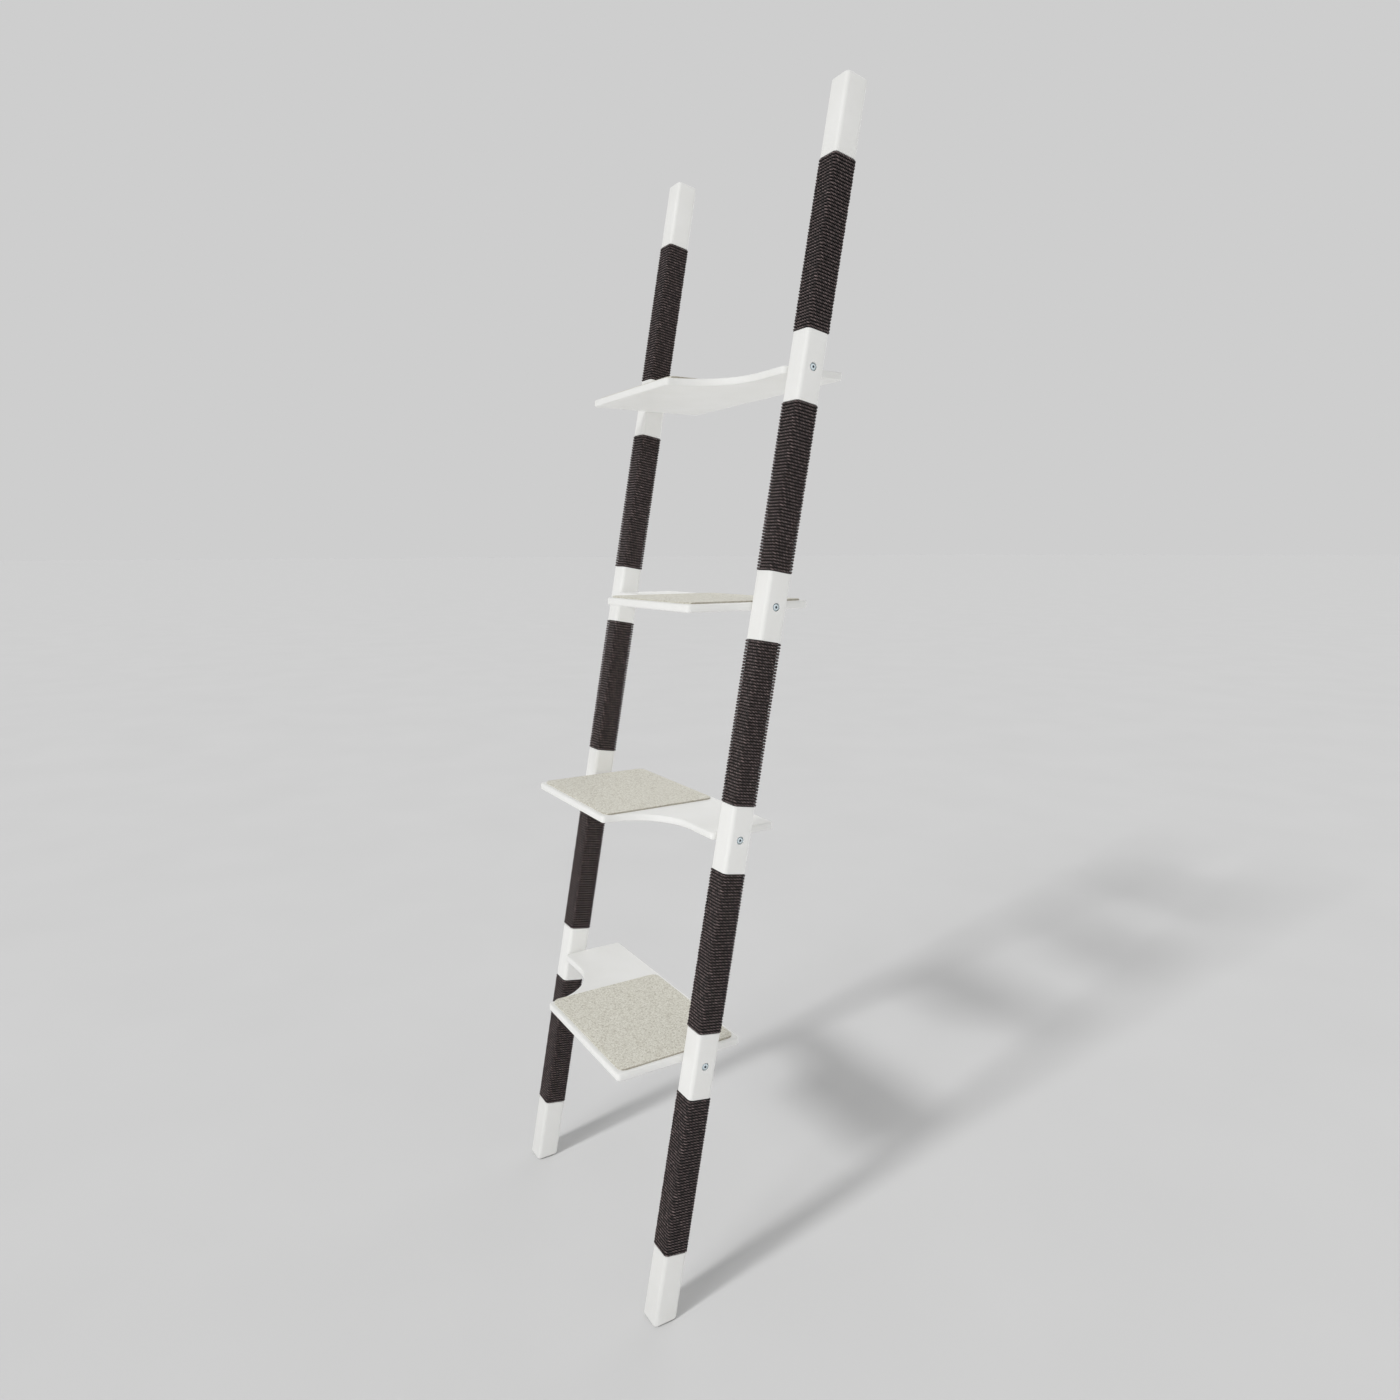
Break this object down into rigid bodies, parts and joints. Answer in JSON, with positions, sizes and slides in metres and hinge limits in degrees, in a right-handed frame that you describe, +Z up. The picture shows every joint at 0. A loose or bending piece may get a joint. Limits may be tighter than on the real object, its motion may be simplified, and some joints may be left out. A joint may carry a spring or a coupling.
{
  "type": "cat scratching tree",
  "caption": "Leaning ladder for cats: square white posts with dark rope wraps to scratch and level boards between them, each with a felt mat and a rounded cut-out",
  "frame": {"origin": "middle of the ladder's footprint on the floor, half way between its lowest board's front edge and the wall", "axes": "+X from the left post to the right one as seen from the front, +Y towards the wall, +Z up"},
  "size_m": [0.76, 0.588, 2.7],
  "materials": {
    "white_wood": "satin white paint on pine posts and boards",
    "dark_rope": "dark charcoal twisted sisal rope",
    "felt": "speckled greenish beige felt",
    "zinc_steel": "bright zinc plate",
    "insert_steel": "dull zinc plate",
    "dowel_wood": "bare beech",
    "pad_rubber": "matt black rubber"
  },
  "bodies": {
    "root": {"rail_left": "white_wood", "foot_pad_left": "pad_rubber", "rope_left_1": "dark_rope", "rope_left_2": "dark_rope", "rope_left_3": "dark_rope", "rope_left_4": "dark_rope", "rope_left_5": "dark_rope", "rail_right": "white_wood", "foot_pad_right": "pad_rubber", "rope_right_1": "dark_rope", "rope_right_2": "dark_rope", "rope_right_3": "dark_rope", "rope_right_4": "dark_rope", "rope_right_5": "dark_rope", "board_1": "white_wood", "mat_1": "felt", "bolts_1": "zinc_steel", "washers_1": "zinc_steel", "inserts_1": "insert_steel", "dowels_1": "dowel_wood", "board_2": "white_wood", "mat_2": "felt", "bolts_2": "zinc_steel", "washers_2": "zinc_steel", "inserts_2": "insert_steel", "dowels_2": "dowel_wood", "board_3": "white_wood", "mat_3": "felt", "bolts_3": "zinc_steel", "washers_3": "zinc_steel", "inserts_3": "insert_steel", "dowels_3": "dowel_wood", "board_4": "white_wood", "mat_4": "felt", "bolts_4": "zinc_steel", "washers_4": "zinc_steel", "inserts_4": "insert_steel", "dowels_4": "dowel_wood"}
  },
  "joints": []
}
